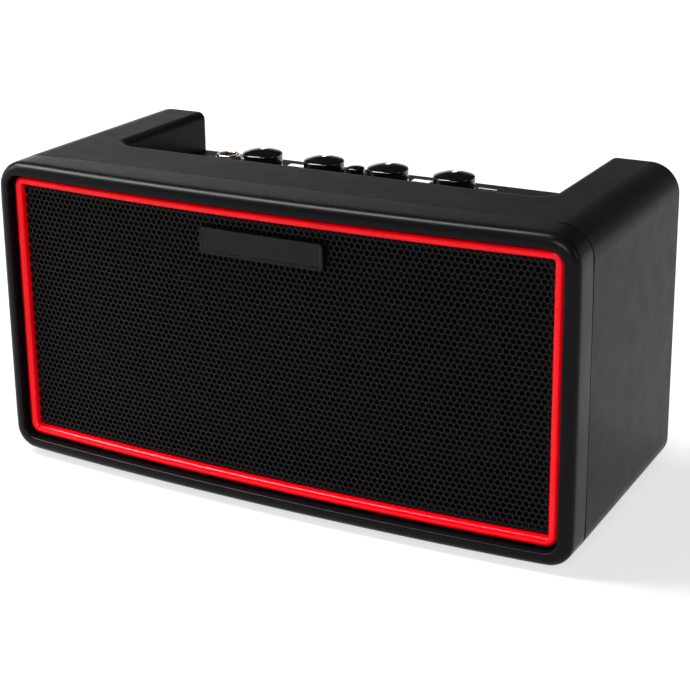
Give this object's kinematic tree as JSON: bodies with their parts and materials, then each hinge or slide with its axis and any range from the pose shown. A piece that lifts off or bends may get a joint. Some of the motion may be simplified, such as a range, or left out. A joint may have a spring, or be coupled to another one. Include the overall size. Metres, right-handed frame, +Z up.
{
  "type": "guitar amplifier",
  "caption": "Small desktop guitar amplifier: moulded box with a bowed grille in a bright trim ring, and knobs and a jack sunk in a cut-out at the rear of its top.",
  "frame": {"origin": "bottom centre of the bounding box, on the surface the feet stand on", "axes": "+X to the right seen from the front, +Y from the grille to the rear panel, +Z up"},
  "size_m": [0.23, 0.106, 0.117],
  "materials": {
    "black_plastic": "moulded, fine satin",
    "shell_plastic": "fine satin",
    "bezel_plastic": "satin",
    "red_gloss": "glossy",
    "grille_metal": "black powder coat",
    "badge_black": "semi gloss",
    "panel_black": "fine texture",
    "fibreboard": "raw board painted dark",
    "foam": "closed cell",
    "screw_steel": "black zinc",
    "frame_steel": "painted",
    "paper_cone": "coated paper",
    "magnet_steel": "zinc plated",
    "lead_red": "satin insulation",
    "foot_rubber": "matte",
    "circuit_board": "solder mask",
    "pot_steel": "plain",
    "nickel": "polished nickel",
    "jack_plastic": "satin",
    "capacitor_sleeve": "shrink sleeve",
    "heat_sink_aluminium": "extruded",
    "usb_steel": "tinned",
    "cell_sleeve": "shrink sleeve",
    "knob_plastic": "semi gloss",
    "plunger_plastic": "natural"
  },
  "bodies": {
    "cabinet": {"cabinet_shell": "shell_plastic", "front_bezel": "bezel_plastic", "trim_ring": "red_gloss", "grille": "grille_metal", "badge_plate": "badge_black", "baffle": "fibreboard", "baffle_screws": "screw_steel", "speaker_gaskets": "foam", "speaker_frame_left": "frame_steel", "speaker_frame_right": "frame_steel", "speaker_cone_left": "paper_cone", "speaker_cone_right": "paper_cone", "speaker_magnet_left": "magnet_steel", "speaker_magnet_right": "magnet_steel", "speaker_screws": "screw_steel", "speaker_leads": "lead_red", "feet": "foot_rubber", "control_panel": "panel_black", "control_board": "circuit_board", "control_board_screws": "screw_steel", "potentiometers": "pot_steel", "potentiometer_nuts": "pot_steel", "tact_switch": "jack_plastic", "input_jack": "jack_plastic", "jack_washer": "nickel", "jack_nut": "nickel", "rear_panel": "shell_plastic", "rear_screws": "screw_steel", "bass_port": "black_plastic", "main_board": "circuit_board", "main_board_screws": "screw_steel", "capacitors": "capacitor_sleeve", "heat_sink": "heat_sink_aluminium", "usb_socket": "usb_steel", "aux_socket": "jack_plastic", "phones_socket": "jack_plastic", "rocker_housing": "jack_plastic", "battery_tray": "black_plastic", "battery_cells": "cell_sleeve"},
    "knob_gain": {"knob_gain": "knob_plastic", "shaft_gain": "pot_steel"},
    "knob_tone": {"knob_tone": "knob_plastic", "shaft_tone": "pot_steel"},
    "knob_effect": {"knob_effect": "knob_plastic", "shaft_effect": "pot_steel"},
    "knob_volume": {"knob_volume": "knob_plastic", "shaft_volume": "pot_steel"},
    "select_button": {"select_button": "knob_plastic", "button_plunger": "plunger_plastic"},
    "power_rocker": {"power_rocker": "knob_plastic"}
  },
  "joints": [
    {"name": "gain_turn", "type": "hinge", "parent": "cabinet", "child": "knob_gain", "pos_m": [-0.047, 0.031, 0.101], "axis": [0, 0, -1], "range_deg": [-150, 150]},
    {"name": "tone_turn", "type": "hinge", "parent": "cabinet", "child": "knob_tone", "pos_m": [-0.0194, 0.031, 0.101], "axis": [0, 0, -1], "range_deg": [-150, 150]},
    {"name": "effect_turn", "type": "hinge", "parent": "cabinet", "child": "knob_effect", "pos_m": [0.0082, 0.031, 0.101], "axis": [0, 0, -1], "range_deg": [-150, 150]},
    {"name": "volume_turn", "type": "hinge", "parent": "cabinet", "child": "knob_volume", "pos_m": [0.0358, 0.031, 0.101], "axis": [0, 0, -1], "range_deg": [-150, 150]},
    {"name": "select_press", "type": "slide", "parent": "cabinet", "child": "select_button", "axis": [0, 0, -1], "range_m": [0, 0.0008], "stiffness_N_per_m": 1500, "springref_m": -0.0004},
    {"name": "power_tilt", "type": "hinge", "parent": "cabinet", "child": "power_rocker", "pos_m": [0.076, 0.0492, 0.045], "axis": [1, 0, 0], "range_deg": [-7, 7]}
  ]
}
